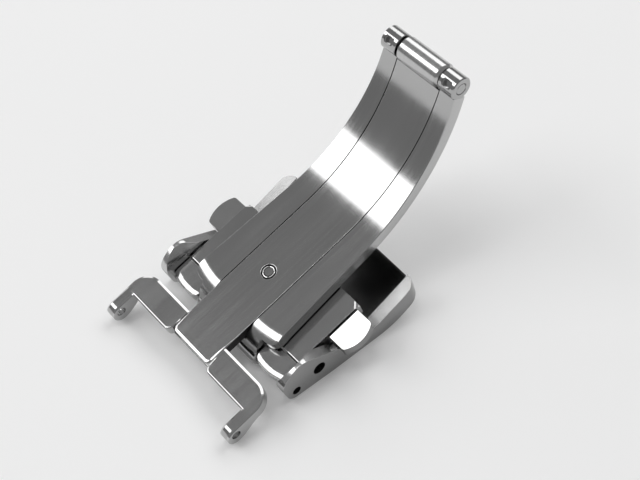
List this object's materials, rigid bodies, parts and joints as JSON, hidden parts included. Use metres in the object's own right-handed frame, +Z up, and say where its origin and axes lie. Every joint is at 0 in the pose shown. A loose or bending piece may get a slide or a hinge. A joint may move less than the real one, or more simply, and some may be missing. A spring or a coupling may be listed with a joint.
{
  "type": "watch strap folding clasp",
  "caption": "Folding deployant clasp with push buttons: curved cover, forked blade, centre blade with catch stud, and a strap yoke at its free end.",
  "frame": {"origin": "centre of the clasp's outline at rest, on the table that the cover's flat underside lies on", "axes": "+X across the strap towards the right button, +Y along the strap from the yoke to the barrel hinge, +Z up towards the wrist side"},
  "size_m": [0.0224, 0.0352, 0.0212],
  "materials": {
    "cover_shell": "polished walls, mirror-bright inner floor, brushed underside",
    "hinge_block": "finely brushed lengthwise, front edges polished",
    "hinge_bar_tube": "turned",
    "hinge_bar_tips": "turned",
    "hinge_bar_spring": "spring wire",
    "latch_housing": "milled, polished rear edge",
    "housing_cap": "finely brushed lengthwise, bevels polished",
    "housing_screws": "turned",
    "cap_rivets": "set flush",
    "button_spring_left": "spring wire",
    "button_spring_right": "spring wire",
    "button_left": "polished",
    "catch_slide_left": "ground flat",
    "slide_rivets_left": "set flush",
    "button_right": "polished",
    "catch_slide_right": "ground flat",
    "slide_rivets_right": "set flush",
    "rail_blade": "top finely brushed lengthwise, edges and knuckles polished",
    "barrel_pin": "ends faced flush",
    "knuckle_set_pins": "set below the surface",
    "tongue_blade": "top finely brushed lengthwise, end bevel polished",
    "centre_barrel": "polished",
    "catch_stud": "riveted end faced with the blade",
    "strap_yoke": "top finely brushed, edges and arm tips polished",
    "yoke_rivets": "low round heads"
  },
  "bodies": {
    "cover": {"cover_shell": "cover_shell", "hinge_block": "hinge_block", "hinge_bar_tube": "hinge_bar_tube", "hinge_bar_tips": "hinge_bar_tips", "hinge_bar_spring": "hinge_bar_spring", "latch_housing": "latch_housing", "housing_cap": "housing_cap", "housing_screws": "housing_screws", "cap_rivets": "cap_rivets", "button_spring_left": "button_spring_left", "button_spring_right": "button_spring_right"},
    "left_button": {"button_left": "button_left", "catch_slide_left": "catch_slide_left", "slide_rivets_left": "slide_rivets_left"},
    "right_button": {"button_right": "button_right", "catch_slide_right": "catch_slide_right", "slide_rivets_right": "slide_rivets_right"},
    "rails": {"rail_blade": "rail_blade", "barrel_pin": "barrel_pin", "knuckle_set_pins": "knuckle_set_pins"},
    "tongue": {"tongue_blade": "tongue_blade", "centre_barrel": "centre_barrel", "catch_stud": "catch_stud", "strap_yoke": "strap_yoke", "yoke_rivets": "yoke_rivets"}
  },
  "joints": [
    {"name": "rails_hinge", "type": "hinge", "parent": "cover", "child": "rails", "pos_m": [0, -0.00933, 0.00119], "axis": [1, 0, 0], "range_deg": [0, 150]},
    {"name": "tongue_hinge", "type": "hinge", "parent": "rails", "child": "tongue", "pos_m": [0, 0.01631, 0.01987], "axis": [-1, 0, 0], "range_deg": [0, 165]},
    {"name": "left_button_push", "type": "slide", "parent": "cover", "child": "left_button", "axis": [1, 0, 0], "range_m": [0, 0.0008], "stiffness_N_per_m": 300, "deforming": ["button_spring_left"]},
    {"name": "right_button_push", "type": "slide", "parent": "cover", "child": "right_button", "axis": [-1, 0, 0], "range_m": [0, 0.0008], "stiffness_N_per_m": 300, "deforming": ["button_spring_right"]}
  ]
}
